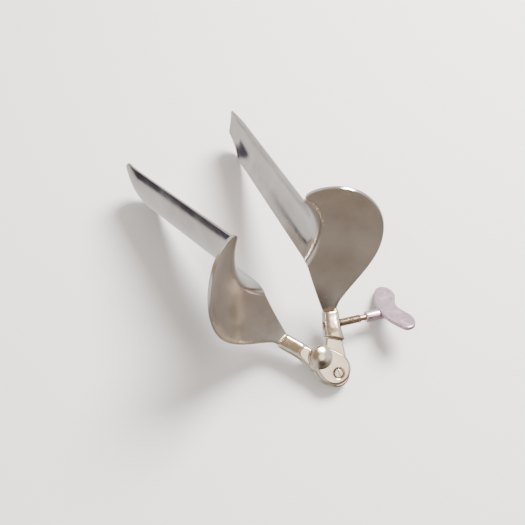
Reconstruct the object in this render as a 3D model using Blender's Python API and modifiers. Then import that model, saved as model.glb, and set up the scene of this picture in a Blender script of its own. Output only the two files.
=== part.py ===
"""Side-screw bivalve speculum, medium size.

Two troughed sheet valves, each drawn out at its mouth into a leaf-shaped flare, are brazed to forged arms.
The arms cross a slanting pivot screw at one side of the mouth: the left arm ends in a fork, the right arm
in a tongue between the fork's cheeks. A winged thumb screw runs through the right arm.

Three frames are used, all right-handed and all with X across the instrument:
  blade frame   X across, Y along the blades, Z up the blades' width, origin on the pivot
  hinge frame   X across, Y away from the pivot, Z along the pivot, the blade frame leaned about X
  stand frame   the hinge frame leaned as the instrument lies on a table, Z up
Each half is designed in its closed place and then swung out by half of OPENING.
"""

import math

import bmesh
import bpy
from mathutils import Matrix, Vector
from mathutils.geometry import interpolate_bezier

MM = 0.001
GAP = 0.3 * MM
BRAZE_GAP = 0.7 * MM

# Driving dimensions
BLADE_LENGTH = 100.0 * MM
MOUTH_WIDTH = 35.0 * MM
TIP_WIDTH = 32.2 * MM
TROUGH_DEPTH = 5.8 * MM
SHEET = 1.3 * MM
OPENING = math.radians(24.5)
HINGE_LEAN = math.radians(40.0)
BED_LEAN = math.radians(18.0)
STAND_SIDE = -2.8 * MM
STAND_FORWARD = -73.6 * MM
STAND_HEIGHT = 10.8 * MM

# Valve, in the blade frame
MOUTH_REACH = 36.5 * MM
MOUTH_HEIGHT = 60.0 * MM
RIM_OFFSET = 0.75 * MM
TIP_RIM_OFFSET = 0.2 * MM
TIP_BULGE = 5.0 * MM
TIP_CORNER = 2.6 * MM
TIP_HOOK = 1.6 * MM
TIP_ROLL = 15.0 * MM
TIP_ROLL_POWER = 2.2
TIP_CORNER_POWER = 5
LEAST_DEPTH = 0.02 * MM
MOUTH_EASE = 0.12
FILLET = 4.6 * MM
FAN_ANGLE = math.radians(81.0)
NECK_HEIGHT = 16.2 * MM
NECK_INNER = 4.5 * MM
NECK_OUTER = 11.6 * MM
FLARE_TOP = 87.2 * MM
FLARE_SIDE = 33.2 * MM
FLARE_CROWN = 13.0 * MM
QUARTER_ROUND = 0.552
COLUMNS = 28
NECK_COLUMNS = 4
ROLL_ROWS = 4
BLADE_ROWS = 3
FILLET_ROWS = 4
FLARE_ROWS = 5

# Hinge, in the hinge frame
FORK_DEPTH = 10.0 * MM
SLOT_TOP = -3.0 * MM
SLOT_BOTTOM = -7.0 * MM
SLOT_ROOT = 18.0 * MM
KNUCKLE_RADIUS = 8.1 * MM
KNUCKLE_CENTRE = (0.3 * MM, 3.0 * MM)
SHOULDER_RADIUS = 6.1 * MM
SHOULDER_CENTRE = (-0.4 * MM, 10.5 * MM)
ROOT_DISCS = [((-3.6 * MM, 10.5 * MM), 4.4 * MM), ((-5.0 * MM, 17.5 * MM), 3.3 * MM)]
ROOT_INSET = 1.5 * MM
KNUCKLE_BEVEL = 0.9 * MM
DOME_CENTRE = (-1.0 * MM, 11.5 * MM)
DOME_RADIUS = 8.6 * MM
DOME_BASE = -5.0 * MM
DOME_HEIGHT = 6.6 * MM
COLUMN_TOP = 3.0 * MM
TONGUE_RADIUS = 6.5 * MM
TONGUE_ROOT_RADIUS = 3.6 * MM
TONGUE_ROOT = (5.2 * MM, 18.5 * MM)
ARM_START = 16.4 * MM
ARM_PATH_POINTS = 9
ARM_HANDLE = 5.5 * MM
NECK_HANDLE = 3.5 * MM
ARM_END_ROUNDING = 0.74
SECTION_POINTS = 20
SECTION_ROUNDNESS = 0.55
SHOULDER_SLANT = 0.55
RIGHT_ARM_WIDTH = 9.4 * MM
LEFT_ARM_WIDTH = 7.9 * MM
NECK_ARM_WIDTH = 7.8 * MM
RIGHT_ARM_THICKNESS = (8.4 * MM, 6.4 * MM)
LEFT_ARM_THICKNESS = (7.0 * MM, 4.4 * MM)
PIVOT_RADIUS = 1.5 * MM
PIVOT_HEAD_RADIUS = 2.05 * MM
PIVOT_HEAD_HEIGHT = 1.1 * MM
HEAD_CHAMFER = 0.3 * MM
DRIVER_SLOT = 0.8 * MM
DRIVER_DEPTH = 0.5 * MM
DRIVER_TURN = math.radians(70.0)

# Thumb screw, on its own line through the right arm
SCREW_REACH = 22.65 * MM
SCREW_LEVEL = -5.2 * MM
SCREW_FACE = 8.7 * MM
SCREW_YAW = math.radians(-5.9)
SCREW_RADIUS = 2.0 * MM
SCREW_TIP = -5.6 * MM
THREAD_END = 12.0 * MM
ROD_RADIUS = 1.45 * MM
ROD_END = 20.4 * MM
HUB_START = 15.2 * MM
HUB_END = 28.6 * MM
HUB_FLAT_START = 22.2 * MM
HUB_RADIUS = 2.7 * MM
HUB_CHAMFER = 0.5 * MM
HUB_TAPER = 0.7 * MM
HUB_TAPER_LENGTH = 1.2 * MM
WING_WAIST = 27.5 * MM
WING_TURN = math.radians(48.0)
WING_RISE = 1.9 * MM
WING_HALF_SPAN = 13.5 * MM
WING_SWEEP = 3.0 * MM
WING_LOBE = 4.6 * MM
WING_WAIST_HALF = 4.4 * MM
WING_BACK_BULGE = 0.6 * MM
WING_THICKNESS = 2.2 * MM


def clear_scene():
    for obj in list(bpy.data.objects):
        bpy.data.objects.remove(obj, do_unlink=True)


def make_collection(name):
    collection = bpy.data.collections.new(name)
    bpy.context.scene.collection.children.link(collection)
    return collection


def make_material(name, colour, roughness):
    material = bpy.data.materials.new(name)
    material.use_nodes = True
    shader = material.node_tree.nodes["Principled BSDF"]
    shader.inputs["Base Color"].default_value = (*colour, 1.0)
    shader.inputs["Roughness"].default_value = roughness
    shader.inputs["Metallic"].default_value = 1.0
    return material


def make_empty(name, parent, matrix, collection):
    empty = bpy.data.objects.new(name, None)
    empty.empty_display_size = 10.0 * MM
    empty.parent = parent
    empty.matrix_local = matrix
    collection.objects.link(empty)
    return empty


def object_from_bmesh(name, shape, collection, parent=None, material=None):
    """Closed or open bmesh to an object with its faces turned outwards."""
    bmesh.ops.recalc_face_normals(shape, faces=shape.faces)
    mesh = bpy.data.meshes.new(name)
    shape.to_mesh(mesh)
    shape.free()
    obj = bpy.data.objects.new(name, mesh)
    collection.objects.link(obj)
    obj.parent = parent
    if material is not None:
        mesh.materials.append(material)
    return obj


def shade(obj):
    obj.data.shade_smooth()
    obj.data.set_sharp_from_angle(angle=math.radians(35.0))


def apply_modifiers(obj):
    """Replace the object's mesh by its evaluated one."""
    graph = bpy.context.evaluated_depsgraph_get()
    mesh = bpy.data.meshes.new_from_object(obj.evaluated_get(graph))
    obj.modifiers.clear()
    obj.data = mesh


def combine(target, tool, operation):
    modifier = target.modifiers.new(operation.lower(), "BOOLEAN")
    modifier.operation = operation
    modifier.solver = "EXACT"
    modifier.object = tool


def as_cutter(obj):
    obj.hide_render = True
    obj.display_type = "WIRE"


def bevelled(obj, width, segments):
    modifier = obj.modifiers.new("rounded_edges", "BEVEL")
    modifier.width = width
    modifier.segments = segments
    modifier.limit_method = "ANGLE"
    modifier.angle_limit = math.radians(40.0)


# --- Valve -----------------------------------------------------------------------------------------------


def flare_surface(across, height):
    """Reach along the blade of the flare's mid surface, a shallow dish that leans back towards the arms."""
    x = (across - RIM_OFFSET) / (10.0 * MM)
    y = (height - MOUTH_HEIGHT) / (10.0 * MM)
    lean = 2.39 * x + 1.01 * y
    cup = 0.76 * x * x + 0.52 * y * y + 0.23 * x * y - 0.026 * y ** 3
    return MOUTH_REACH - (lean + cup) * MM


def flare_outline(count):
    """Points along the leaf outline, from the blade's upper rim over the crown down to the arm's neck."""
    start = Vector((RIM_OFFSET + 0.2 * MM, 81.5 * MM))
    crown = Vector((FLARE_CROWN, FLARE_TOP))
    side = Vector((FLARE_SIDE, 58.0 * MM))
    neck = Vector((NECK_OUTER, NECK_HEIGHT))
    near_corner = Vector((start.x, crown.y))
    far_corner = Vector((side.x, crown.y))
    below_side = side - Vector((0.0, 23.0 * MM))
    above_neck = neck + Vector((2.9 * MM, 5.8 * MM))
    curves = [
        (start, start.lerp(near_corner, QUARTER_ROUND), crown.lerp(near_corner, QUARTER_ROUND), crown),
        (crown, crown.lerp(far_corner, QUARTER_ROUND), side.lerp(far_corner, QUARTER_ROUND), side),
        (side, below_side, above_neck, neck),
    ]
    dense = []
    for first, handle_a, handle_b, last in curves:
        dense += interpolate_bezier(first, handle_a, handle_b, last, 40)
    lengths = [0.0]
    for previous, point in zip(dense, dense[1:]):
        lengths.append(lengths[-1] + (point - previous).length)
    points = []
    index = 0
    for step in range(count + 1):
        wanted = lengths[-1] * step / count
        while index < len(lengths) - 2 and lengths[index + 1] < wanted:
            index += 1
        span = max(lengths[index + 1] - lengths[index], 1e-12)
        points.append(dense[index].lerp(dense[index + 1], (wanted - lengths[index]) / span))
    return points


def trough_point(side, along):
    """Across and height on the trough, side from 1 at the upper rim to -1, along from 0 at the mouth to 1."""
    width = MOUTH_WIDTH + (TIP_WIDTH - MOUTH_WIDTH) * along
    reach = along * BLADE_LENGTH
    roll = max(0.0, (reach - (BLADE_LENGTH - TIP_ROLL)) / (TIP_ROLL + TIP_BULGE))
    rim = RIM_OFFSET + (TIP_RIM_OFFSET - RIM_OFFSET) * along - TIP_HOOK * roll * roll
    depth = TROUGH_DEPTH * math.sqrt(max(0.0, 1.0 - roll ** TIP_ROLL_POWER)) + LEAST_DEPTH
    radius = (width * width / 4 + depth * depth) / (2 * depth)
    angle = math.asin(min(1.0, width / 2 / radius)) * side
    return rim + depth - radius * (1 - math.cos(angle)), MOUTH_HEIGHT + radius * math.sin(angle)


def valve_columns():
    """Rows of points from the tip to the flare's edge for each column from the upper rim to the lower one."""
    outline = flare_outline(COLUMNS - NECK_COLUMNS)
    for step in range(1, NECK_COLUMNS + 1):
        outline.append(Vector((NECK_OUTER + (NECK_INNER - NECK_OUTER) * step / NECK_COLUMNS, NECK_HEIGHT)))
    columns = []
    for column in range(COLUMNS + 1):
        side = 1.0 - 2.0 * column / COLUMNS
        bulge = TIP_BULGE * (1 - side * side) - TIP_CORNER * abs(side) ** TIP_CORNER_POWER
        end = 1.0 + bulge / BLADE_LENGTH
        roll_start = 1.0 - TIP_ROLL / BLADE_LENGTH
        points = []
        mouth = Vector(trough_point(side, 0.0))
        mouth_reach = flare_surface(mouth.x, mouth.y) + FILLET
        start = (mouth_reach - MOUTH_REACH) / BLADE_LENGTH
        easing = [math.sin(math.pi / 2 * row / ROLL_ROWS) for row in range(ROLL_ROWS)]
        stops = [end + (roll_start - end) * share for share in easing]
        stops += [roll_start + (start - roll_start) * row / BLADE_ROWS for row in range(BLADE_ROWS + 1)]
        for along in stops:
            x, z = trough_point(side, along)
            blend = min(1.0, max(0.0, (MOUTH_EASE - along) / MOUTH_EASE))
            reach = MOUTH_REACH + along * BLADE_LENGTH
            points.append(Vector((x, reach, z)).lerp(Vector((mouth.x, reach, mouth.y)), blend))
        fan = Vector((math.cos(FAN_ANGLE * side), math.sin(FAN_ANGLE * side)))
        for row in range(1, FILLET_ROWS + 1):
            turn = math.pi / 2 * row / FILLET_ROWS
            place = mouth + fan * FILLET * (1 - math.cos(turn))
            reach = flare_surface(place.x, place.y) + FILLET * (1 - math.sin(turn))
            points.append(Vector((place.x, reach, place.y)))
        edge = mouth + fan * FILLET
        for row in range(1, FLARE_ROWS + 1):
            place = edge.lerp(outline[column], row / FLARE_ROWS)
            points.append(Vector((place.x, flare_surface(place.x, place.y), place.y)))
        columns.append(points)
    return columns


def make_valve(name, mirror, parent, collection, material):
    """Valve pressed from one sheet: trough, rolled fillet at the mouth, dished flare and neck."""
    into_hinge = Matrix.Rotation(-HINGE_LEAN, 4, "X")
    shape = bmesh.new()
    grid = []
    for points in valve_columns():
        places = [into_hinge @ Vector((point.x * mirror, point.y, point.z)) for point in points]
        grid.append([shape.verts.new(place) for place in places])
    for left, right in zip(grid, grid[1:]):
        for row in range(len(left) - 1):
            shape.faces.new((left[row], left[row + 1], right[row + 1], right[row]))
    valve = object_from_bmesh(name, shape, collection, parent, material)
    sheet = valve.modifiers.new("sheet", "SOLIDIFY")
    sheet.thickness = SHEET
    sheet.offset = 0.0
    sheet.use_even_offset = True
    shade(valve)
    return valve


# --- Arms and hinge --------------------------------------------------------------------------------------


def rounded_section(centre, across, up, width, thickness):
    """Ring of points round a bar, a rectangle with full round corners."""
    points = []
    for step in range(SECTION_POINTS):
        angle = math.tau * (step + 0.5) / SECTION_POINTS
        x = math.copysign(abs(math.cos(angle)) ** SECTION_ROUNDNESS, math.cos(angle))
        y = math.copysign(abs(math.sin(angle)) ** SECTION_ROUNDNESS, math.sin(angle))
        points.append(centre + across * (x * width / 2) + up * (y * thickness / 2))
    return points


def make_bar(name, mirror, width, thickness, slant, collection):
    """Forged bar that thins on its way from the knuckle to the valve's neck. Slant tilts its first end."""
    neck_across = (NECK_INNER + NECK_OUTER) / 2
    neck = Vector((neck_across, flare_surface(neck_across, NECK_HEIGHT), NECK_HEIGHT))
    above = Vector((neck_across, flare_surface(neck_across, NECK_HEIGHT + MM), NECK_HEIGHT + MM))
    into_hinge = Matrix.Rotation(-HINGE_LEAN, 4, "X")
    neck_direction = (into_hinge @ (above - neck)).normalized()
    end = into_hinge @ neck - neck_direction * BRAZE_GAP
    start = Vector((4.75 * MM, ARM_START, (SLOT_TOP + SLOT_BOTTOM) / 2))
    leaving = start + Vector((0.2 * MM, ARM_HANDLE, 0.3 * MM))
    arriving = end - neck_direction * NECK_HANDLE
    path = interpolate_bezier(start, leaving, arriving, end, ARM_PATH_POINTS)
    shape = bmesh.new()
    rings = []
    for index, centre in enumerate(path):
        before = path[max(index - 1, 0)]
        after = path[min(index + 1, len(path) - 1)]
        tangent = (after - before).normalized()
        if index == 0:
            tangent = Vector((0, 1, 0))
        if index == len(path) - 1:
            tangent = neck_direction
        across = (Vector((1, 0, 0)) - tangent * tangent.x).normalized()
        up = across.cross(tangent)
        share = index / (len(path) - 1)
        size = ARM_END_ROUNDING if index == len(path) - 1 else 1.0
        ring_width = (width + (NECK_ARM_WIDTH - width) * share) * size
        ring_thickness = (thickness[0] + (thickness[1] - thickness[0]) * share) * size
        ring = rounded_section(centre, across, up, ring_width, ring_thickness)
        if index == 0:
            ring = [point - Vector((0, (point.x - centre.x) * slant, 0)) for point in ring]
        rings.append([shape.verts.new((point.x * mirror, point.y, point.z)) for point in ring])
    for lower, upper in zip(rings, rings[1:]):
        for step in range(SECTION_POINTS):
            following = (step + 1) % SECTION_POINTS
            shape.faces.new((lower[step], lower[following], upper[following], upper[step]))
    shape.faces.new(rings[0])
    shape.faces.new(rings[-1])
    return object_from_bmesh(name, shape, collection)


def make_plate(name, discs, bottom, top, collection):
    """Flat plate whose outline is drawn round the given discs, each (centre, radius)."""
    shape = bmesh.new()
    for (x, y), radius in discs:
        place = Matrix.Translation((x, y, (bottom + top) / 2))
        bmesh.ops.create_cone(shape, cap_ends=True, segments=28, radius1=radius, radius2=radius,
                              depth=top - bottom, matrix=place)
    hull = bmesh.ops.convex_hull(shape, input=shape.verts)
    left_over = hull["geom_interior"] + hull["geom_unused"]
    loose = [item for item in left_over if isinstance(item, bmesh.types.BMVert)]
    bmesh.ops.delete(shape, geom=list(set(loose)), context="VERTS")
    old = [face for face in hull["geom_holes"] if isinstance(face, bmesh.types.BMFace) and face.is_valid]
    bmesh.ops.delete(shape, geom=list(set(old)), context="FACES_ONLY")
    bmesh.ops.dissolve_limit(shape, angle_limit=math.radians(2.0), verts=shape.verts, edges=shape.edges)
    return object_from_bmesh(name, shape, collection)


def make_cylinder(name, radius, bottom, top, collection, segments=24):
    shape = bmesh.new()
    bmesh.ops.create_cone(shape, cap_ends=True, segments=segments, radius1=radius, radius2=radius,
                          depth=top - bottom, matrix=Matrix.Translation((0, 0, (bottom + top) / 2)))
    return object_from_bmesh(name, shape, collection)


def make_dome(name, centre, radius, base, height, collection):
    """Low ellipsoid whose middle lies on the base level."""
    shape = bmesh.new()
    place = Matrix.Translation((*centre, base)) @ Matrix.Diagonal((radius, radius, height, 1.0))
    bmesh.ops.create_uvsphere(shape, u_segments=28, v_segments=16, radius=1.0, matrix=place)
    return object_from_bmesh(name, shape, collection)


def make_box(name, low, high, collection):
    low = Vector(low)
    high = Vector(high)
    shape = bmesh.new()
    bmesh.ops.create_cube(shape, size=1.0, matrix=Matrix.Translation((low + high) / 2)
                          @ Matrix.Diagonal((*(high - low), 1.0)))
    return object_from_bmesh(name, shape, collection)


def make_left_arm(parent, collection, cutters, material):
    """Arm with a domed knuckle that is slotted into two cheeks and bored for the pivot screw."""
    arm = make_bar("left_arm", -1, LEFT_ARM_WIDTH, LEFT_ARM_THICKNESS, 0.0, collection)
    discs = [(KNUCKLE_CENTRE, KNUCKLE_RADIUS), (SHOULDER_CENTRE, SHOULDER_RADIUS)]
    knuckle = make_plate("left_knuckle", discs, -FORK_DEPTH, 0.0, cutters)
    bevelled(knuckle, KNUCKLE_BEVEL, 2)
    apply_modifiers(knuckle)
    column = make_plate("shoulder_column", discs, -COLUMN_TOP, COLUMN_TOP, cutters)
    dome = make_dome("left_dome", DOME_CENTRE, DOME_RADIUS, DOME_BASE, DOME_HEIGHT, cutters)
    combine(dome, column, "INTERSECT")
    apply_modifiers(dome)
    root = make_plate("left_root", ROOT_DISCS, ROOT_INSET - FORK_DEPTH, -ROOT_INSET, cutters)
    slot = make_box("fork_slot", (-20 * MM, -12 * MM, SLOT_BOTTOM), (20 * MM, SLOT_ROOT, SLOT_TOP), cutters)
    bore = make_cylinder("fork_bore", PIVOT_RADIUS + GAP, -15 * MM, 5 * MM, cutters)
    seat = make_cylinder("head_seat", PIVOT_HEAD_RADIUS + GAP, -PIVOT_HEAD_HEIGHT - GAP, 5 * MM, cutters)
    combine(arm, knuckle, "UNION")
    combine(arm, root, "UNION")
    combine(arm, dome, "UNION")
    for cutter in (slot, bore, seat):
        combine(arm, cutter, "DIFFERENCE")
    apply_modifiers(arm)
    for cutter in (knuckle, root, column, dome, slot, bore, seat):
        as_cutter(cutter)
    arm.parent = parent
    arm.data.materials.append(material)
    shade(arm)
    return arm


def make_right_arm(parent, screw_line, collection, cutters, material):
    """Arm with a thin tongue on the pivot and a hole that the thumb screw runs through."""
    arm = make_bar("right_arm", 1, RIGHT_ARM_WIDTH, RIGHT_ARM_THICKNESS, SHOULDER_SLANT, collection)
    tongue = make_plate("right_tongue", [((0.0, 0.0), TONGUE_RADIUS), (TONGUE_ROOT, TONGUE_ROOT_RADIUS)],
                        SLOT_BOTTOM + GAP, SLOT_TOP - GAP, cutters)
    bore = make_cylinder("tongue_bore", PIVOT_RADIUS + GAP, -15 * MM, 5 * MM, cutters)
    hole = make_cylinder("screw_hole", SCREW_RADIUS + GAP, -20 * MM, 20 * MM, cutters)
    hole.matrix_world = screw_line @ Matrix.Rotation(math.pi / 2, 4, "Y")
    combine(arm, tongue, "UNION")
    combine(arm, bore, "DIFFERENCE")
    combine(arm, hole, "DIFFERENCE")
    bpy.context.view_layer.update()
    apply_modifiers(arm)
    for cutter in (tongue, bore, hole):
        as_cutter(cutter)
    arm.parent = parent
    arm.data.materials.append(material)
    shade(arm)
    return arm


def make_pivot_screw(parent, collection, cutters, material):
    """Slotted screw, its head flush with the front cheek."""
    profile = [(0.0, 0.0), (PIVOT_HEAD_RADIUS - HEAD_CHAMFER, 0.0), (PIVOT_HEAD_RADIUS, -HEAD_CHAMFER),
               (PIVOT_HEAD_RADIUS, -PIVOT_HEAD_HEIGHT), (PIVOT_RADIUS, -PIVOT_HEAD_HEIGHT),
               (PIVOT_RADIUS, -FORK_DEPTH), (0.0, -FORK_DEPTH)]
    screw = turned("pivot_screw", profile, collection, 24)
    half_slot = DRIVER_SLOT / 2
    driver = make_box("driver_slot", (-5 * MM, -half_slot, -DRIVER_DEPTH), (5 * MM, half_slot, MM), cutters)
    driver.rotation_euler.z = DRIVER_TURN
    bpy.context.view_layer.update()
    combine(screw, driver, "DIFFERENCE")
    apply_modifiers(screw)
    as_cutter(driver)
    screw.parent = parent
    screw.data.materials.append(material)
    shade(screw)
    return screw


def turned(name, profile, collection, steps):
    """Solid of revolution about Z from (radius, height) points that run from the top down."""
    shape = bmesh.new()
    verts = [shape.verts.new((radius, 0.0, height)) for radius, height in profile]
    for first, second in zip(verts, verts[1:]):
        shape.edges.new((first, second))
    mesh = bpy.data.meshes.new(name)
    shape.to_mesh(mesh)
    shape.free()
    obj = bpy.data.objects.new(name, mesh)
    collection.objects.link(obj)
    spin = obj.modifiers.new("turn", "SCREW")
    spin.steps = steps
    spin.render_steps = steps
    spin.use_merge_vertices = True
    spin.merge_threshold = 0.00001
    apply_modifiers(obj)
    return obj


# --- Thumb screw -----------------------------------------------------------------------------------------


def lay_along_x(obj):
    """Turn a piece made about Z so that its top points along +X."""
    obj.data.transform(Matrix.Rotation(math.pi / 2, 4, "Y"))


def make_thumb_screw(parent, collection, material):
    """Threaded rod with a thinner plain end that is held in the hub."""
    rod = turned("thumb_screw", [(0.0, ROD_END), (ROD_RADIUS, ROD_END), (ROD_RADIUS, THREAD_END + 0.5 * MM),
                                 (SCREW_RADIUS, THREAD_END), (SCREW_RADIUS, SCREW_TIP + 0.5 * MM),
                                 (SCREW_RADIUS - 0.5 * MM, SCREW_TIP), (0.0, SCREW_TIP)], collection, 20)
    lay_along_x(rod)
    rod.parent = parent
    rod.data.materials.append(material)
    shade(rod)
    return rod


def wing_place():
    """The wing's own frame on the screw's line, Z out of the wing's flat side."""
    return Matrix.Translation((WING_WAIST, 0, 0)) @ Matrix.Rotation(-WING_TURN, 4, "X")


def make_wing_hub(parent, collection, cutters, material):
    """Turned collar, bored for the rod's plain end and milled flat where the wing is brazed on."""
    bore = ROD_RADIUS + GAP
    profile = [(0.0, HUB_END), (HUB_RADIUS - HUB_CHAMFER, HUB_END), (HUB_RADIUS, HUB_END - HUB_CHAMFER),
               (HUB_RADIUS, HUB_START + HUB_TAPER_LENGTH), (HUB_RADIUS - HUB_TAPER, HUB_START),
               (bore, HUB_START), (bore, ROD_END + GAP), (0.0, ROD_END + GAP)]
    hub = turned("wing_hub", profile, collection, 20)
    lay_along_x(hub)
    flat = make_box("hub_flat", (HUB_FLAT_START - WING_WAIST, -5 * MM, WING_RISE - WING_THICKNESS / 2 - GAP),
                    (10 * MM, 5 * MM, 6 * MM), cutters)
    flat.matrix_world = wing_place()
    bpy.context.view_layer.update()
    combine(hub, flat, "DIFFERENCE")
    apply_modifiers(hub)
    as_cutter(flat)
    hub.parent = parent
    hub.data.materials.append(material)
    shade(hub)
    return hub


def make_thumb_wing(parent, collection, material):
    """Flat plate with two round ends, swept outwards a little and brazed on the hub's flat."""
    rim = WING_THICKNESS * 0.3
    tip = WING_HALF_SPAN + WING_LOBE - rim
    half = [(WING_SWEEP, tip), (WING_SWEEP + WING_LOBE - rim, WING_HALF_SPAN), (WING_WAIST_HALF - rim, 0.0)]
    outline = half + [(x, -y) for x, y in half[1::-1]]
    lobe_back = WING_SWEEP - WING_LOBE + rim
    outline += [(lobe_back, -WING_HALF_SPAN), (rim - WING_WAIST_HALF - WING_BACK_BULGE, 0.0),
                (lobe_back, WING_HALF_SPAN)]
    curve = bpy.data.curves.new("thumb_wing", "CURVE")
    curve.dimensions = "2D"
    curve.fill_mode = "BOTH"
    curve.extrude = WING_THICKNESS / 2 - rim
    curve.bevel_depth = rim
    curve.bevel_resolution = 1
    curve.resolution_u = 6
    spline = curve.splines.new("BEZIER")
    spline.bezier_points.add(len(outline) - 1)
    for point, (x, y) in zip(spline.bezier_points, outline):
        point.co = (x, y, 0.0)
        point.handle_left_type = "AUTO"
        point.handle_right_type = "AUTO"
    spline.use_cyclic_u = True
    drawn = bpy.data.objects.new("thumb_wing_outline", curve)
    collection.objects.link(drawn)
    bpy.context.view_layer.update()
    graph = bpy.context.evaluated_depsgraph_get()
    mesh = bpy.data.meshes.new_from_object(drawn.evaluated_get(graph))
    bpy.data.objects.remove(drawn)
    shape = bmesh.new()
    shape.from_mesh(mesh)
    bmesh.ops.remove_doubles(shape, verts=shape.verts, dist=0.00001)
    bmesh.ops.dissolve_limit(shape, angle_limit=math.radians(1.0), verts=shape.verts, edges=shape.edges)
    bmesh.ops.transform(shape, matrix=wing_place() @ Matrix.Translation((0, 0, WING_RISE)), verts=shape.verts)
    wing = object_from_bmesh("thumb_wing", shape, collection, parent, material)
    shade(wing)
    return wing


# --- Assembly --------------------------------------------------------------------------------------------


def build():
    clear_scene()
    parts = make_collection("bivalve_speculum")
    cutters = make_collection("cutters")

    sheet = make_material("polished_sheet", (0.74, 0.70, 0.66), 0.12)
    forged = make_material("polished_forging", (0.78, 0.72, 0.62), 0.16)
    turned_metal = make_material("turned_metal", (0.76, 0.70, 0.60), 0.22)
    wing_metal = make_material("wing_metal", (0.80, 0.74, 0.76), 0.28)

    stand = make_empty("stand", None, Matrix.Translation((STAND_SIDE, STAND_FORWARD, STAND_HEIGHT))
                       @ Matrix.Rotation(BED_LEAN, 4, "X"), parts)
    left_half = make_empty("left_half", stand, Matrix.Rotation(OPENING / 2, 4, "Z"), parts)
    right_half = make_empty("right_half", stand, Matrix.Rotation(-OPENING / 2, 4, "Z"), parts)
    screw_place = (Matrix.Translation((SCREW_FACE, SCREW_REACH, SCREW_LEVEL))
                   @ Matrix.Rotation(SCREW_YAW, 4, "Z"))
    screw_line = make_empty("screw_line", right_half, screw_place, parts)

    make_left_arm(left_half, parts, cutters, forged)
    make_right_arm(right_half, screw_place, parts, cutters, forged)
    make_pivot_screw(left_half, parts, cutters, turned_metal)
    make_valve("left_valve", -1, left_half, parts, sheet)
    make_valve("right_valve", 1, right_half, parts, sheet)
    make_thumb_screw(screw_line, parts, turned_metal)
    make_wing_hub(screw_line, parts, cutters, wing_metal)
    make_thumb_wing(screw_line, parts, wing_metal)


build()
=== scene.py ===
import math

import bpy
from mathutils import Matrix, Vector


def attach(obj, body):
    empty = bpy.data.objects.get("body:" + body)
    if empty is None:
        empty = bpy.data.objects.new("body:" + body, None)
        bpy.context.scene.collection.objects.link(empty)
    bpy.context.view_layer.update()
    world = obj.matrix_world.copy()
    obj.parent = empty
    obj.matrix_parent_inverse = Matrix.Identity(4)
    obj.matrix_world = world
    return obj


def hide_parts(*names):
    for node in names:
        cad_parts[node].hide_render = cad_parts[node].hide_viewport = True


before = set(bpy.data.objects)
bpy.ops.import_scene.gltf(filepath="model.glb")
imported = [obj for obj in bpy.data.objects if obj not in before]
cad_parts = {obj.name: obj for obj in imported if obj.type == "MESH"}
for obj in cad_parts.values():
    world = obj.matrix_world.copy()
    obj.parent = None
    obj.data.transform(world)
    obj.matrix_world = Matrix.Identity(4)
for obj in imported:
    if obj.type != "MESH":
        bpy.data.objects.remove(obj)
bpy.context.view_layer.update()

# Valves: each blade and its flare are one sheet of steel, pressed over a former, trimmed to a leaf outline and
# polished all over. A flat blank is laid into the shape of the press, given the sheet's wall, and its cut edge
# is rounded. The neck of each flare runs on into the arm that is brazed round it.
MM = 0.001
SHEET = 1.3 * MM
SHEET_EDGE = 0.42 * MM
BLADE = 100.0 * MM
BLADE_LEAN = math.radians(-40.0)
MOUTH_REACH = 36.5 * MM
MOUTH_HEIGHT = 60.0 * MM
MOUTH_WIDTH = 35.0 * MM
MOUTH_EASE = 0.12
NARROWING = 2.8 * MM
TROUGH_DEPTH = 5.8 * MM
LEAST_DEPTH = 0.02 * MM
RIM, RIM_DRIFT, RIM_ROLL = 0.75 * MM, 0.55 * MM, 1.6 * MM
ROLL_START, ROLL_LENGTH, ROLL_POWER = 0.85, 20.0 * MM, 2.2
TIP_BULGE, TIP_CORNER, CORNER_POWER = 5.0 * MM, 2.6 * MM, 5
FILLET = 4.6 * MM
FAN = math.radians(81.0)
DISH_UNIT = 10.0 * MM
LEAN_ACROSS, LEAN_UP = 2.39, 1.01
CUP_ACROSS, CUP_UP, CUP_TWIST, CUP_CROWN = 0.76, 0.52, 0.23, 0.026
LEAF_START, LEAF_CROWN = Vector((0.95, 81.5)) * MM, Vector((13.0, 87.2)) * MM
LEAF_SIDE, LEAF_NECK = Vector((33.2, 58.0)) * MM, Vector((11.6, 16.2)) * MM
SIDE_PULL, NECK_PULL = Vector((0.0, 23.0)) * MM, Vector((2.9, 5.8)) * MM
QUARTER_ROUND = 0.552
LEAF_STEPS = 80
NECK_OUTER, NECK_WIDTH, NECK_END = 11.4, 6.8, 14.0
ACROSS, NECK_ACROSS = 72, 10
TIP_ROWS, BLADE_ROWS, FILLET_ROWS, FLARE_ROWS = 10, 14, 8, 14
SHEET_DARK, SHEET_LIGHT = (0.50, 0.445, 0.39), (0.66, 0.61, 0.55)
CORNER_LIMIT = math.radians(50.0)

# The instrument lies on its two blade tips and the knuckle, which leans it. Each half is swung out from the
# middle.
HINGE_PLACE = (-2.8 * MM, -73.6 * MM, 10.8 * MM)
LYING_LEAN = math.radians(18.0)
HALF_OPENING = math.radians(12.25)
lying = Matrix.Translation(HINGE_PLACE) @ Matrix.Rotation(LYING_LEAN, 4, "X")
half_place = {
    -1: lying @ Matrix.Rotation(HALF_OPENING, 4, "Z"),
    1: lying @ Matrix.Rotation(-HALF_OPENING, 4, "Z"),
}

CLOUD_DARK_AT, CLOUD_LIGHT_AT = 0.32, 0.68
HAIR_SHRINK = (1.0, 0.08, 1.0)
SMUDGE_SCALE = 2.2
GLOSS_FROM, GLOSS_TO = (0.12, 0.40), (0.65, 1.45)
RELIEF_HEIGHT = 0.05 * MM


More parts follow.
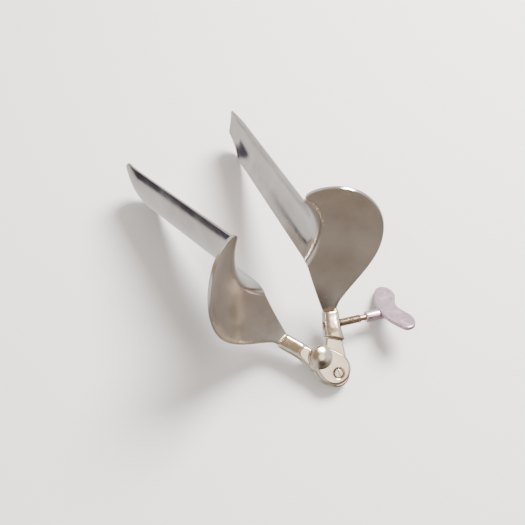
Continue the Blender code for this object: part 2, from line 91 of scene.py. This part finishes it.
def polished_metal(name, dark, light, roughness, cloud_size, hair_size, relief_depth):
    """Metal with soft colour clouds, smudges that change its gloss, and fine polishing lines."""
    material = bpy.data.materials.new(name)
    material.use_nodes = True
    nodes = material.node_tree.nodes
    links = material.node_tree.links
    shader = nodes["Principled BSDF"]
    shader.inputs["Metallic"].default_value = 1.0
    place = nodes.new("ShaderNodeTexCoord")
    clouds = nodes.new("ShaderNodeTexNoise")
    clouds.inputs["Scale"].default_value = 1.0 / cloud_size
    clouds.inputs["Detail"].default_value = 5.0
    tint = nodes.new("ShaderNodeValToRGB")
    tint.color_ramp.elements[0].position = CLOUD_DARK_AT
    tint.color_ramp.elements[0].color = (*dark, 1.0)
    tint.color_ramp.elements[1].position = CLOUD_LIGHT_AT
    tint.color_ramp.elements[1].color = (*light, 1.0)
    stretch = nodes.new("ShaderNodeMapping")
    stretch.inputs["Scale"].default_value = HAIR_SHRINK
    hairs = nodes.new("ShaderNodeTexNoise")
    hairs.inputs["Scale"].default_value = 1.0 / hair_size
    hairs.inputs["Detail"].default_value = 7.0
    smudges = nodes.new("ShaderNodeTexNoise")
    smudges.inputs["Scale"].default_value = SMUDGE_SCALE / cloud_size
    smudges.inputs["Detail"].default_value = 4.0
    both = nodes.new("ShaderNodeMath")
    both.operation = "MULTIPLY"
    gloss = nodes.new("ShaderNodeMapRange")
    gloss.inputs["From Min"].default_value, gloss.inputs["From Max"].default_value = GLOSS_FROM
    gloss.inputs["To Min"].default_value = roughness * GLOSS_TO[0]
    gloss.inputs["To Max"].default_value = roughness * GLOSS_TO[1]
    relief = nodes.new("ShaderNodeBump")
    relief.inputs["Strength"].default_value = relief_depth
    relief.inputs["Distance"].default_value = RELIEF_HEIGHT
    links.new(place.outputs["Object"], clouds.inputs["Vector"])
    links.new(place.outputs["Object"], smudges.inputs["Vector"])
    links.new(place.outputs["Object"], stretch.inputs["Vector"])
    links.new(stretch.outputs["Vector"], hairs.inputs["Vector"])
    links.new(clouds.outputs["Fac"], tint.inputs["Fac"])
    links.new(tint.outputs["Color"], shader.inputs["Base Color"])
    links.new(hairs.outputs["Fac"], both.inputs[0])
    links.new(smudges.outputs["Fac"], both.inputs[1])
    links.new(both.outputs["Value"], gloss.inputs["Value"])
    links.new(gloss.outputs["Result"], shader.inputs["Roughness"])
    links.new(hairs.outputs["Fac"], relief.inputs["Height"])
    links.new(relief.outputs["Normal"], shader.inputs["Normal"])
    return material


def pick(obj):
    """Make this the only selected object."""
    if bpy.context.object is not None and bpy.context.object.mode != "OBJECT":
        bpy.ops.object.mode_set(mode="OBJECT")
    bpy.ops.object.select_all(action="DESELECT")
    obj.select_set(True)
    bpy.context.view_layer.objects.active = obj


def round_edges(obj, width, segments):
    """Round the piece's sharp edges over when its modifiers are applied."""
    rounding = obj.modifiers.new("rounded_edges", "BEVEL")
    rounding.width = width
    rounding.segments = segments
    rounding.limit_method = "ANGLE"
    rounding.angle_limit = CORNER_LIMIT


def apply_all(obj):
    pick(obj)
    for modifier in list(obj.modifiers):
        bpy.ops.object.modifier_apply(modifier=modifier.name)


def face_outwards(obj):
    pick(obj)
    bpy.ops.object.mode_set(mode="EDIT")
    bpy.ops.mesh.select_all(action="SELECT")
    bpy.ops.mesh.normals_make_consistent(inside=False)
    bpy.ops.object.mode_set(mode="OBJECT")


def finish_piece(obj, name, place, material, shading_angle, node, body):
    """Apply what is still live, lay the piece in its place, shade it and hand it to its body."""
    apply_all(obj)
    bpy.context.view_layer.update()
    obj.data.transform(place @ obj.matrix_world)
    obj.matrix_world = Matrix.Identity(4)
    bpy.ops.object.shade_smooth_by_angle(angle=math.radians(shading_angle))
    obj.name = name
    obj.data.materials.clear()
    obj.data.materials.append(material)
    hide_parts(node)
    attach(obj, body)


def flare_reach(across, height):
    """How far along the blades the dished flare lies at this place."""
    x = (across - RIM) / DISH_UNIT
    y = (height - MOUTH_HEIGHT) / DISH_UNIT
    lean = LEAN_ACROSS * x + LEAN_UP * y
    cup = CUP_ACROSS * x * x + CUP_UP * y * y + CUP_TWIST * x * y - CUP_CROWN * y ** 3
    return MOUTH_REACH - (lean + cup) * MM


def trough(side, along):
    """Across and height in the blade's trough, from its upper rim at 1 to its lower rim at -1."""
    width = MOUTH_WIDTH - NARROWING * along
    roll = max(0.0, (along - ROLL_START) * BLADE / ROLL_LENGTH)
    rim = RIM - RIM_DRIFT * along - RIM_ROLL * roll * roll
    depth = TROUGH_DEPTH * math.sqrt(max(0.0, 1.0 - roll ** ROLL_POWER)) + LEAST_DEPTH
    radius = (width * width / 4 + depth * depth) / (2 * depth)
    angle = math.asin(min(1.0, width / 2 / radius)) * side
    return Vector((rim + depth - radius * (1 - math.cos(angle)), MOUTH_HEIGHT + radius * math.sin(angle)))


def leaf_edge(count):
    """Evenly spaced places round the leaf, from the blade's upper rim over the crown down to the neck."""
    start, crown, side, neck = LEAF_START, LEAF_CROWN, LEAF_SIDE, LEAF_NECK
    near, far = Vector((start.x, crown.y)), Vector((side.x, crown.y))
    bends = [(start, start.lerp(near, QUARTER_ROUND), crown.lerp(near, QUARTER_ROUND), crown),
             (crown, crown.lerp(far, QUARTER_ROUND), side.lerp(far, QUARTER_ROUND), side),
             (side, side - SIDE_PULL, neck + NECK_PULL, neck)]
    dense = []
    for a, b, c, d in bends:
        for step in range(LEAF_STEPS):
            t = step / (LEAF_STEPS - 1)
            s = 1.0 - t
            dense.append(a * s ** 3 + b * 3 * t * s * s + c * 3 * t * t * s + d * t ** 3)
    run = [0.0]
    for first, second in zip(dense, dense[1:]):
        run.append(run[-1] + (second - first).length)
    places = []
    at = 0
    for step in range(count + 1):
        wanted = run[-1] * step / count
        while at < len(run) - 2 and run[at + 1] < wanted:
            at += 1
        span = max(run[at + 1] - run[at], 1e-12)
        places.append(dense[at].lerp(dense[at + 1], (wanted - run[at]) / span))
    return places


def pressed_row(side, edge_place):
    """Places from the blade's tip to the flare's edge, down one line of the blank."""
    tip = 1.0 + (TIP_BULGE * (1 - side * side) - TIP_CORNER * abs(side) ** CORNER_POWER) / BLADE
    mouth = trough(side, 0.0)
    begin = (flare_reach(mouth.x, mouth.y) + FILLET - MOUTH_REACH) / BLADE
    stops = [tip + (ROLL_START - tip) * math.sin(math.pi / 2 * row / TIP_ROWS) for row in range(TIP_ROWS)]
    stops += [ROLL_START + (begin - ROLL_START) * row / BLADE_ROWS for row in range(BLADE_ROWS + 1)]
    places = []
    for along in stops:
        at = trough(side, along).lerp(mouth, min(1.0, max(0.0, (MOUTH_EASE - along) / MOUTH_EASE)))
        places.append(Vector((at.x, MOUTH_REACH + along * BLADE, at.y)))
    fan = FAN * side
    outwards = Vector((math.cos(fan), math.sin(fan)))
    for row in range(1, FILLET_ROWS + 1):
        turn = math.pi / 2 * row / FILLET_ROWS
        at = mouth + outwards * FILLET * (1 - math.cos(turn))
        places.append(Vector((at.x, flare_reach(at.x, at.y) + FILLET * (1 - math.sin(turn)), at.y)))
    inner = mouth + outwards * FILLET
    for row in range(1, FLARE_ROWS + 1):
        at = inner.lerp(edge_place, row / FLARE_ROWS)
        places.append(Vector((at.x, flare_reach(at.x, at.y), at.y)))
    return places


sheet_metal = polished_metal("polished_sheet", SHEET_DARK, SHEET_LIGHT, 0.17, 22.0 * MM, 1.1 * MM, 0.10)
edge_places = leaf_edge(ACROSS - NECK_ACROSS)
for step in range(1, NECK_ACROSS + 1):
    edge_places.append(Vector((NECK_OUTER - NECK_WIDTH * step / NECK_ACROSS, NECK_END)) * MM)
pressed = [pressed_row(1.0 - 2.0 * column / ACROSS, edge_places[column]) for column in range(ACROSS + 1)]
DOWN = len(pressed[0]) - 1
blade_lean = Matrix.Rotation(BLADE_LEAN, 4, "X")
for side_name, mirror in (("left", -1), ("right", 1)):
    bpy.ops.object.select_all(action="DESELECT")
    bpy.ops.mesh.primitive_grid_add(x_subdivisions=ACROSS, y_subdivisions=DOWN, size=2.0, location=(0, 0, 0))
    valve = bpy.context.object
    for corner in valve.data.vertices:
        column = round((corner.co.x + 1.0) / 2.0 * ACROSS)
        row = round((corner.co.y + 1.0) / 2.0 * DOWN)
        at = pressed[column][row]
        corner.co = blade_lean @ Vector((at.x * mirror, at.y, at.z))
    wall = valve.modifiers.new("wall", "SOLIDIFY")
    wall.thickness = SHEET
    wall.offset = 0.0
    wall.use_even_offset = True
    round_edges(valve, SHEET_EDGE, 3)
    apply_all(valve)
    face_outwards(valve)
    finish_piece(valve, side_name + "_blade_and_flare", half_place[mirror], sheet_metal, 50.0,
                 side_name + "_valve", side_name + "_half")


# Arms: two drop forgings, filed and polished by hand until every corner is soft. The left one is slotted into a
# fork and the right one is thinned to a tongue that fits it. Each is cut to its true shape and then worn round.
SOFTENING_GRAIN = 0.26 * MM
SOFTENING_PASSES = 42
WELD = 0.001 * MM
forged_metal = polished_metal("polished_forging", (0.56, 0.48, 0.365), (0.76, 0.69, 0.575), 0.17, 9.0 * MM,
                              0.8 * MM, 0.12)


def weld(obj, distance):
    """Join corners that lie on each other."""
    pick(obj)
    bpy.ops.object.mode_set(mode="EDIT")
    bpy.ops.mesh.select_all(action="SELECT")
    bpy.ops.mesh.remove_doubles(threshold=distance)
    bpy.ops.object.mode_set(mode="OBJECT")


for side_name in ("left", "right"):
    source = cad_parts[side_name + "_arm"]
    arm = bpy.data.objects.new(side_name + "_forging", source.data.copy())
    bpy.context.scene.collection.objects.link(arm)
    weld(arm, WELD)
    grain = arm.modifiers.new("grain", "REMESH")
    grain.mode = "VOXEL"
    grain.voxel_size = SOFTENING_GRAIN
    wear = arm.modifiers.new("wear", "SMOOTH")
    wear.factor = 0.5
    wear.iterations = SOFTENING_PASSES
    finish_piece(arm, side_name + "_forging", Matrix.Identity(4), forged_metal, 60.0,
                 side_name + "_arm", side_name + "_half")


# Pivot screw: turned from bar, its cheese head sunk level with the fork's front cheek, with a sawn slot for a
# screwdriver. The slot is cut across the finished head.
HEAD_RADIUS = 2.05 * MM
HEAD_HEIGHT = 1.1 * MM
HEAD_EDGE = 0.28 * MM
SHANK_RADIUS, SHANK_LENGTH = 1.5 * MM, 8.7 * MM
SAW_SIZE = (8.0 * MM, 0.75 * MM, 1.3 * MM)
SAW_TURN = math.radians(70.0)
head_metal = polished_metal("turned_screw_head", (0.50, 0.42, 0.32), (0.70, 0.62, 0.50), 0.22, 4.0 * MM,
                            0.4 * MM, 0.2)


def cut_away(obj, cutter):
    """Take the cutter's shape out of the piece, and the cutter away."""
    cut = obj.modifiers.new("cut", "BOOLEAN")
    cut.operation = "DIFFERENCE"
    cut.solver = "EXACT"
    cut.object = cutter
    apply_all(obj)
    bpy.data.objects.remove(cutter, do_unlink=True)


bpy.ops.object.select_all(action="DESELECT")
bpy.ops.mesh.primitive_cylinder_add(vertices=64, radius=HEAD_RADIUS, depth=HEAD_HEIGHT,
                                    location=(0, 0, -HEAD_HEIGHT / 2))
pivot = bpy.context.object
bpy.ops.object.transform_apply(location=True, rotation=True, scale=True)
bpy.ops.object.mode_set(mode="EDIT")
bpy.ops.mesh.select_all(action="DESELECT")
bpy.ops.mesh.select_mode(type="FACE")
bpy.ops.object.mode_set(mode="OBJECT")
for face in pivot.data.polygons:
    face.select = face.normal.z < -0.9
bpy.ops.object.mode_set(mode="EDIT")
bpy.ops.mesh.inset(thickness=HEAD_RADIUS - SHANK_RADIUS)
bpy.ops.mesh.extrude_region_move(TRANSFORM_OT_translate={"value": (0, 0, -SHANK_LENGTH)})
bpy.ops.object.mode_set(mode="OBJECT")
round_edges(pivot, HEAD_EDGE, 4)
apply_all(pivot)
bpy.ops.object.select_all(action="DESELECT")
bpy.ops.mesh.primitive_cube_add(size=1.0, location=(0, 0, 0), rotation=(0, 0, SAW_TURN))
saw = bpy.context.object
saw.scale = SAW_SIZE
cut_away(pivot, saw)
finish_piece(pivot, "slotted_pivot_screw", half_place[-1], head_metal, 40.0, "pivot_screw", "left_half")


# Thumb screw rod: a turned rod, threaded where it runs through the right arm and plain where the hub holds it. A
# flat blank is rolled round the screw's line, and the thread's ridge winds round it with its lead.
TIP, THREAD_END, ROD_END = -5.6 * MM, 12.0 * MM, 20.4 * MM
CREST, ROOT, PLAIN = 2.0 * MM, 1.62 * MM, 1.45 * MM
LEAD = 0.7 * MM
TIP_SLOPE = 0.6
RUN_OUT = 0.8 * MM
BLANK_WELD = 0.005 * MM
ROUND, LONG = 48, 260
BORE_PLACE, BORE_TURN = (8.7 * MM, 22.65 * MM, -5.2 * MM), math.radians(-5.9)
turned_metal = polished_metal("turned_rod", (0.33, 0.25, 0.185), (0.47, 0.37, 0.28), 0.22, 4.0 * MM, 0.4 * MM,
                              0.2)
screw_place = half_place[1] @ Matrix.Translation(BORE_PLACE) @ Matrix.Rotation(BORE_TURN, 4, "Z")
bpy.ops.object.select_all(action="DESELECT")
bpy.ops.mesh.primitive_grid_add(x_subdivisions=ROUND, y_subdivisions=LONG, size=2.0, location=(0, 0, 0))
rod = bpy.context.object
for corner in rod.data.vertices:
    turn = (corner.co.x + 1.0) / 2.0
    along = TIP + (ROD_END - TIP) * (corner.co.y + 1.0) / 2.0
    wave = 0.5 + 0.5 * math.cos(math.tau * (along / LEAD - turn))
    radius = ROOT + (CREST - ROOT) * wave
    radius = min(radius, ROOT + max(0.0, along - TIP) * TIP_SLOPE)
    fade = min(1.0, max(0.0, (along - THREAD_END) / RUN_OUT))
    radius += (PLAIN - radius) * fade
    angle = math.tau * turn
    corner.co = (along, radius * math.cos(angle), radius * math.sin(angle))
weld(rod, BLANK_WELD)
bpy.ops.object.mode_set(mode="EDIT")
bpy.ops.mesh.select_all(action="DESELECT")
bpy.ops.mesh.select_mode(type="EDGE")
bpy.ops.mesh.select_non_manifold()
bpy.ops.mesh.fill_holes(sides=0)
bpy.ops.object.mode_set(mode="OBJECT")
face_outwards(rod)
finish_piece(rod, "threaded_rod", screw_place, turned_metal, 70.0, "thumb_screw", "screw_rod")


# Hub: a turned collar of the same metal as the wing, slid over the plain end of the rod. Its ends are eased, and
# it is milled flat on one side where the wing is brazed on.
HUB_START, HUB_END, HUB_RADIUS = 15.2 * MM, 28.6 * MM, 2.7 * MM
HUB_EDGE = 0.7 * MM
FLAT_LEVEL = 0.5 * MM
WING_MIDDLE, WING_TURN = 27.5 * MM, math.radians(-48.0)
MILL_SHIFT, MILL_SIZE = 1.35 * MM, (13.3 * MM, 10.0 * MM, 5.0 * MM)
# Pink base colour: a painted reflection of a pink thing nearby, shared by the hub and the wing.
wing_metal_painted_pink_reflection = polished_metal("handled_plate_painted_pink_reflection", (0.71, 0.52, 0.60), (0.85, 0.66, 0.75), 0.36, 12.0 * MM,
                            0.9 * MM, 0.18)
wing_seat = Matrix.Translation((WING_MIDDLE, 0, 0)) @ Matrix.Rotation(WING_TURN, 4, "X")
bpy.ops.object.select_all(action="DESELECT")
bpy.ops.mesh.primitive_cylinder_add(vertices=64, radius=HUB_RADIUS, depth=HUB_END - HUB_START,
                                    location=((HUB_START + HUB_END) / 2, 0, 0), rotation=(0, math.pi / 2, 0))
hub = bpy.context.object
bpy.ops.object.transform_apply(location=True, rotation=True, scale=True)
round_edges(hub, HUB_EDGE, 5)
apply_all(hub)
bpy.ops.object.select_all(action="DESELECT")
bpy.ops.mesh.primitive_cube_add(size=1.0)
mill = bpy.context.object
mill.matrix_world = (wing_seat @ Matrix.Translation((MILL_SHIFT, 0, FLAT_LEVEL + MILL_SIZE[2] / 2))
                     @ Matrix.Diagonal((*MILL_SIZE, 1.0)))
cut_away(hub, mill)
finish_piece(hub, "wing_collar", screw_place, wing_metal_painted_pink_reflection, 40.0, "wing_hub", "thumb_piece")


# Wing: a plate with two round ends for finger and thumb, its rim rounded over, brazed on the hub's flat. It is
# duller than the rest from handling, and its pink tint is a painted reflection of a pink thing nearby, not the
# metal's own colour.
WING_RISE, WING_THICK, ROUNDING = 1.9 * MM, 2.2 * MM, 0.75 * MM
SWEEP, LOBE, SPAN = 3.0 * MM, 4.6 * MM, 13.5 * MM
WAIST, BACK_BULGE = 4.4 * MM, 0.6 * MM
outline = bpy.data.curves.new("wing_outline", "CURVE")
outline.dimensions = "2D"
outline.fill_mode = "BOTH"
outline.extrude = WING_THICK / 2 - ROUNDING
outline.bevel_depth = ROUNDING
outline.bevel_resolution = 6
outline.resolution_u = 20
front = [(SWEEP, SPAN + LOBE - ROUNDING), (SWEEP + LOBE - ROUNDING, SPAN), (WAIST - ROUNDING, 0.0)]
places = front + [(x, -y) for x, y in front[1::-1]]
back = SWEEP - LOBE + ROUNDING
places += [(back, -SPAN), (ROUNDING - WAIST - BACK_BULGE, 0.0), (back, SPAN)]
drawn = outline.splines.new("BEZIER")
drawn.bezier_points.add(len(places) - 1)
for point, (x, y) in zip(drawn.bezier_points, places):
    point.co = (x, y, 0.0)
    point.handle_left_type = "AUTO"
    point.handle_right_type = "AUTO"
drawn.use_cyclic_u = True
wing = bpy.data.objects.new("wing_outline", outline)
bpy.context.scene.collection.objects.link(wing)
pick(wing)
bpy.ops.object.convert(target="MESH")
wing = bpy.context.object
weld(wing, WELD)
face_outwards(wing)
wing_place = screw_place @ wing_seat @ Matrix.Translation((0, 0, WING_RISE))
finish_piece(wing, "finger_wing", wing_place, wing_metal_painted_pink_reflection, 40.0, "thumb_wing", "thumb_piece")


# Table: a plain pale top, the same all over. It catches the shadows, and is left out of what the polished metal
# mirrors.
TABLE_SIZE, TABLE_COLOUR, TABLE_ROUGHNESS = 4.0, (0.92, 0.912, 0.91, 1.0), 0.75
bpy.ops.object.select_all(action="DESELECT")
bpy.ops.mesh.primitive_plane_add(size=TABLE_SIZE, location=(0.0, 0.0, 0.0))
table = bpy.context.object
table.name = "table"
table_top = bpy.data.materials.new("pale_table")
table_top.use_nodes = True
top_shader = table_top.node_tree.nodes["Principled BSDF"]
top_shader.inputs["Base Color"].default_value = TABLE_COLOUR
top_shader.inputs["Roughness"].default_value = TABLE_ROUGHNESS
table.data.materials.append(table_top)
table.visible_glossy = False

# Light: a pale room, and one broad lamp from the right and above. The metal mirrors the room: taupe low on the
# hinge's side, dim above that with a bright window higher still, tan overhead, and a dark slate band low on the
# left beyond the blade tips.
PALE_WALL, TAN, TAUPE = (0.97, 0.965, 0.985), (0.46, 0.355, 0.25), (0.39, 0.34, 0.30)
DIM, BRIGHT, SLATE = (0.10, 0.08, 0.06), (2.5, 2.2, 1.95), (0.075, 0.07, 0.10)
ROOM_STRENGTH = 1.2
LAMP_SIZE, LAMP_POWER, LAMP_COLOUR = 0.45, 27.0, (1.0, 0.97, 0.93)
LAMP_PLACE, LAMP_AIM = (0.55, 0.12, 0.75), (0, 0, 0.03)
room = bpy.data.worlds.new("pale_room")
bpy.context.scene.world = room
room.use_nodes = True
room_nodes = room.node_tree.nodes
room_links = room.node_tree.links
direction = room_nodes.new("ShaderNodeTexCoord")


def share_towards(aim, start, full):
    """Rises from 0 to 1 as the looked-at part of the room nears the aim."""
    nearness = room_nodes.new("ShaderNodeVectorMath")
    nearness.operation = "DOT_PRODUCT"
    nearness.inputs[1].default_value = Vector(aim).normalized()
    rise = room_nodes.new("ShaderNodeMapRange")
    rise.interpolation_type = "SMOOTHSTEP"
    rise.inputs["From Min"].default_value = start
    rise.inputs["From Max"].default_value = full
    room_links.new(direction.outputs["Generated"], nearness.inputs[0])
    room_links.new(nearness.outputs["Value"], rise.inputs["Value"])
    return rise.outputs["Result"]


def product(first, second):
    """Where both shares are full."""
    times = room_nodes.new("ShaderNodeMath")
    times.operation = "MULTIPLY"
    room_links.new(first, times.inputs[0])
    room_links.new(second, times.inputs[1])
    return times.outputs["Value"]


def colour_over(share, below, colour):
    """Lay a colour over what is below it, by the share."""
    COLOUR_A, COLOUR_B, COLOUR_OUT = 6, 7, 2
    over = room_nodes.new("ShaderNodeMix")
    over.data_type = "RGBA"
    over.inputs[COLOUR_B].default_value = (*colour, 1.0)
    room_links.new(share, over.inputs[0])
    if isinstance(below, tuple):
        over.inputs[COLOUR_A].default_value = (*below, 1.0)
    else:
        room_links.new(below, over.inputs[COLOUR_A])
    return over.outputs[COLOUR_OUT]


hinge_side = share_towards((0.0, -0.824, -0.566), 0.28, 0.56)
overhead = share_towards((0.0, 0.1, 1.0), 0.72, 0.92)
window = share_towards((0.26, -0.41, 0.87), 0.945, 0.98)
above_hinge = share_towards((0.0, -0.80, 0.60), 0.84, 0.99)
left_side = share_towards((-0.72, 0.58, -0.38), 0.95, 0.975)
band_foot = share_towards((0.0, 0.0, 1.0), -0.48, -0.44)
band_head = share_towards((0.0, 0.0, -1.0), 0.02, 0.10)
seen = colour_over(overhead, PALE_WALL, TAN)
seen = colour_over(hinge_side, seen, TAUPE)
seen = colour_over(above_hinge, seen, DIM)
seen = colour_over(window, seen, BRIGHT)
seen = colour_over(product(left_side, product(band_foot, band_head)), seen, SLATE)
room_links.new(seen, room_nodes["Background"].inputs["Color"])
room_nodes["Background"].inputs["Strength"].default_value = ROOM_STRENGTH
lamp_data = bpy.data.lights.new("soft_lamp", "AREA")
lamp_data.shape = "DISK"
lamp_data.size = LAMP_SIZE
lamp_data.energy = LAMP_POWER
lamp_data.color = LAMP_COLOUR
lamp = bpy.data.objects.new("soft_lamp", lamp_data)
bpy.context.scene.collection.objects.link(lamp)
lamp.location = LAMP_PLACE
lamp.rotation_euler = (Vector(LAMP_AIM) - lamp.location).to_track_quat("-Z", "Y").to_euler()

# Camera: above and behind the hinge, looking down along the blades. Its turn is given by which way its back and
# its right side point.
CAMERA_PLACE = (-0.0758, -0.1328, 0.3060)
CAMERA_BACK, CAMERA_RIGHT = Vector((-0.224, -0.390, 0.893)), Vector((0.845, -0.534, -0.022))
LENS, SENSOR = 43.62, 36.0
camera_data = bpy.data.cameras.new("view")
camera_data.sensor_width = SENSOR
camera_data.lens = LENS
camera_data.dof.use_dof = False
camera = bpy.data.objects.new("view", camera_data)
bpy.context.scene.collection.objects.link(camera)
backwards = CAMERA_BACK.normalized()
sideways = (CAMERA_RIGHT - backwards * CAMERA_RIGHT.dot(backwards)).normalized()
upwards = backwards.cross(sideways)
turned = Matrix((sideways, upwards, backwards)).transposed().to_4x4()
camera.matrix_world = Matrix.Translation(CAMERA_PLACE) @ turned
bpy.context.scene.camera = camera
